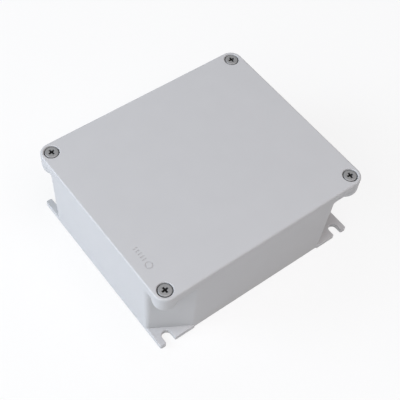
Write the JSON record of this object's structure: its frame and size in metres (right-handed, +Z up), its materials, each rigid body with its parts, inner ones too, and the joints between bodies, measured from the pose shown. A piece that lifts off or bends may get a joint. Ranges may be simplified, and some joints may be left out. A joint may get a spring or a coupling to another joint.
{
  "type": "aluminum junction box",
  "caption": "Rectangular cast aluminium junction box with a screwed flat lid, cut corners over slotted feet, a seal, a rail with clamp terminals and an earth screw.",
  "frame": {"origin": "under the middle of the floor, on the surface that the box stands on", "axes": "+X along the long side, +Y towards the rear long side, +Z up through the lid"},
  "size_m": [0.166, 0.142, 0.062],
  "materials": {
    "cast_grey_paint": "light grey satin powder coat on die-cast aluminium",
    "gasket_rubber": "dark grey seal, matt",
    "stainless_screws": "stainless, dull",
    "washers": "stainless, dull",
    "zinc_plate": "zinc plated, satin",
    "terminal_grey": "grey polyamide, matt",
    "terminal_blue": "blue polyamide, matt",
    "terminal_green_yellow": "green and yellow polyamide, matt",
    "copper_bar": "tinned copper alloy"
  },
  "bodies": {
    "box": {"housing": "cast_grey_paint", "mounting_rail": "zinc_plate", "rail_screws": "zinc_plate", "terminal_end_plate": "terminal_grey", "end_stop_left": "terminal_grey", "end_stop_right": "terminal_grey", "terminal_line": "terminal_grey", "current_bar_line": "copper_bar", "terminal_neutral": "terminal_blue", "current_bar_neutral": "copper_bar", "terminal_earth": "terminal_green_yellow", "current_bar_earth": "copper_bar"},
    "lid": {"lid": "cast_grey_paint", "lid_gasket": "gasket_rubber"},
    "lid_washer_front_left": {"lid_washer_front_left": "washers"},
    "lid_screw_front_left": {"lid_screw_front_left": "stainless_screws"},
    "lid_washer_front_right": {"lid_washer_front_right": "washers"},
    "lid_screw_front_right": {"lid_screw_front_right": "stainless_screws"},
    "lid_washer_rear_left": {"lid_washer_rear_left": "washers"},
    "lid_screw_rear_left": {"lid_screw_rear_left": "stainless_screws"},
    "lid_washer_rear_right": {"lid_washer_rear_right": "washers"},
    "lid_screw_rear_right": {"lid_screw_rear_right": "stainless_screws"},
    "earth_clamp": {"earth_clamp_saddle": "zinc_plate", "earth_spring_washer": "washers"},
    "earth_screw": {"earth_screw": "stainless_screws"},
    "clamp_cage_line_front": {"clamp_cage_line_front": "zinc_plate"},
    "clamp_screw_line_front": {"clamp_screw_line_front": "zinc_plate"},
    "clamp_cage_line_rear": {"clamp_cage_line_rear": "zinc_plate"},
    "clamp_screw_line_rear": {"clamp_screw_line_rear": "zinc_plate"},
    "clamp_cage_neutral_front": {"clamp_cage_neutral_front": "zinc_plate"},
    "clamp_screw_neutral_front": {"clamp_screw_neutral_front": "zinc_plate"},
    "clamp_cage_neutral_rear": {"clamp_cage_neutral_rear": "zinc_plate"},
    "clamp_screw_neutral_rear": {"clamp_screw_neutral_rear": "zinc_plate"},
    "clamp_cage_earth_front": {"clamp_cage_earth_front": "zinc_plate"},
    "clamp_screw_earth_front": {"clamp_screw_earth_front": "zinc_plate"},
    "clamp_cage_earth_rear": {"clamp_cage_earth_rear": "zinc_plate"},
    "clamp_screw_earth_rear": {"clamp_screw_earth_rear": "zinc_plate"}
  },
  "joints": [
    {"name": "lid_lift", "type": "slide", "parent": "box", "child": "lid", "axis": [0, 0, 1], "range_m": [0, 0.12]},
    {"name": "screw_rise_front_left", "type": "slide", "parent": "lid", "child": "lid_washer_front_left", "axis": [0, 0, 1], "range_m": [0, 0.0096]},
    {"name": "screw_turn_front_left", "type": "hinge", "parent": "lid_washer_front_left", "child": "lid_screw_front_left", "pos_m": [-0.07525, -0.06325, 0.0586], "axis": [0, 0, 1], "range_deg": [0, 4320]},
    {"name": "screw_rise_front_right", "type": "slide", "parent": "lid", "child": "lid_washer_front_right", "axis": [0, 0, 1], "range_m": [0, 0.0096]},
    {"name": "screw_turn_front_right", "type": "hinge", "parent": "lid_washer_front_right", "child": "lid_screw_front_right", "pos_m": [0.07525, -0.06325, 0.0586], "axis": [0, 0, 1], "range_deg": [0, 4320]},
    {"name": "screw_rise_rear_left", "type": "slide", "parent": "lid", "child": "lid_washer_rear_left", "axis": [0, 0, 1], "range_m": [0, 0.0096]},
    {"name": "screw_turn_rear_left", "type": "hinge", "parent": "lid_washer_rear_left", "child": "lid_screw_rear_left", "pos_m": [-0.07525, 0.06325, 0.0586], "axis": [0, 0, 1], "range_deg": [0, 4320]},
    {"name": "screw_rise_rear_right", "type": "slide", "parent": "lid", "child": "lid_washer_rear_right", "axis": [0, 0, 1], "range_m": [0, 0.0096]},
    {"name": "screw_turn_rear_right", "type": "hinge", "parent": "lid_washer_rear_right", "child": "lid_screw_rear_right", "pos_m": [0.07525, 0.06325, 0.0586], "axis": [0, 0, 1], "range_deg": [0, 4320]},
    {"name": "earth_clamp_rise", "type": "slide", "parent": "box", "child": "earth_clamp", "axis": [0, 0, 1], "range_m": [0, 0.004]},
    {"name": "earth_screw_turn", "type": "hinge", "parent": "earth_clamp", "child": "earth_screw", "pos_m": [0.06812, 0, 0.0124], "axis": [0, 0, 1], "range_deg": [0, 1800]},
    {"name": "clamp_turn_line_front", "type": "hinge", "parent": "box", "child": "clamp_screw_line_front", "pos_m": [-0.00645, -0.012, 0.0406], "axis": [0, 0, 1], "range_deg": [-2160, 0]},
    {"name": "cage_rise_line_front", "type": "slide", "parent": "box", "child": "clamp_cage_line_front", "axis": [0, 0, 1], "range_m": [0, 0.003]},
    {"name": "clamp_turn_line_rear", "type": "hinge", "parent": "box", "child": "clamp_screw_line_rear", "pos_m": [-0.00645, 0.012, 0.0406], "axis": [0, 0, 1], "range_deg": [-2160, 0]},
    {"name": "cage_rise_line_rear", "type": "slide", "parent": "box", "child": "clamp_cage_line_rear", "axis": [0, 0, 1], "range_m": [0, 0.003]},
    {"name": "clamp_turn_neutral_front", "type": "hinge", "parent": "box", "child": "clamp_screw_neutral_front", "pos_m": [-0.00025, -0.012, 0.0406], "axis": [0, 0, 1], "range_deg": [-2160, 0]},
    {"name": "cage_rise_neutral_front", "type": "slide", "parent": "box", "child": "clamp_cage_neutral_front", "axis": [0, 0, 1], "range_m": [0, 0.003]},
    {"name": "clamp_turn_neutral_rear", "type": "hinge", "parent": "box", "child": "clamp_screw_neutral_rear", "pos_m": [-0.00025, 0.012, 0.0406], "axis": [0, 0, 1], "range_deg": [-2160, 0]},
    {"name": "cage_rise_neutral_rear", "type": "slide", "parent": "box", "child": "clamp_cage_neutral_rear", "axis": [0, 0, 1], "range_m": [0, 0.003]},
    {"name": "clamp_turn_earth_front", "type": "hinge", "parent": "box", "child": "clamp_screw_earth_front", "pos_m": [0.00595, -0.012, 0.0406], "axis": [0, 0, 1], "range_deg": [-2160, 0]},
    {"name": "cage_rise_earth_front", "type": "slide", "parent": "box", "child": "clamp_cage_earth_front", "axis": [0, 0, 1], "range_m": [0, 0.003]},
    {"name": "clamp_turn_earth_rear", "type": "hinge", "parent": "box", "child": "clamp_screw_earth_rear", "pos_m": [0.00595, 0.012, 0.0406], "axis": [0, 0, 1], "range_deg": [-2160, 0]},
    {"name": "cage_rise_earth_rear", "type": "slide", "parent": "box", "child": "clamp_cage_earth_rear", "axis": [0, 0, 1], "range_m": [0, 0.003]}
  ],
  "couplings": [
    {"joint": "screw_turn_front_left", "follows": "screw_rise_front_left", "rad_per_m": 7854},
    {"joint": "screw_turn_front_right", "follows": "screw_rise_front_right", "rad_per_m": 7854},
    {"joint": "screw_turn_rear_left", "follows": "screw_rise_rear_left", "rad_per_m": 7854},
    {"joint": "screw_turn_rear_right", "follows": "screw_rise_rear_right", "rad_per_m": 7854},
    {"joint": "earth_screw_turn", "follows": "earth_clamp_rise", "rad_per_m": 7854},
    {"joint": "clamp_turn_line_front", "follows": "cage_rise_line_front", "rad_per_m": -12566},
    {"joint": "clamp_turn_line_rear", "follows": "cage_rise_line_rear", "rad_per_m": -12566},
    {"joint": "clamp_turn_neutral_front", "follows": "cage_rise_neutral_front", "rad_per_m": -12566},
    {"joint": "clamp_turn_neutral_rear", "follows": "cage_rise_neutral_rear", "rad_per_m": -12566},
    {"joint": "clamp_turn_earth_front", "follows": "cage_rise_earth_front", "rad_per_m": -12566},
    {"joint": "clamp_turn_earth_rear", "follows": "cage_rise_earth_rear", "rad_per_m": -12566}
  ]
}
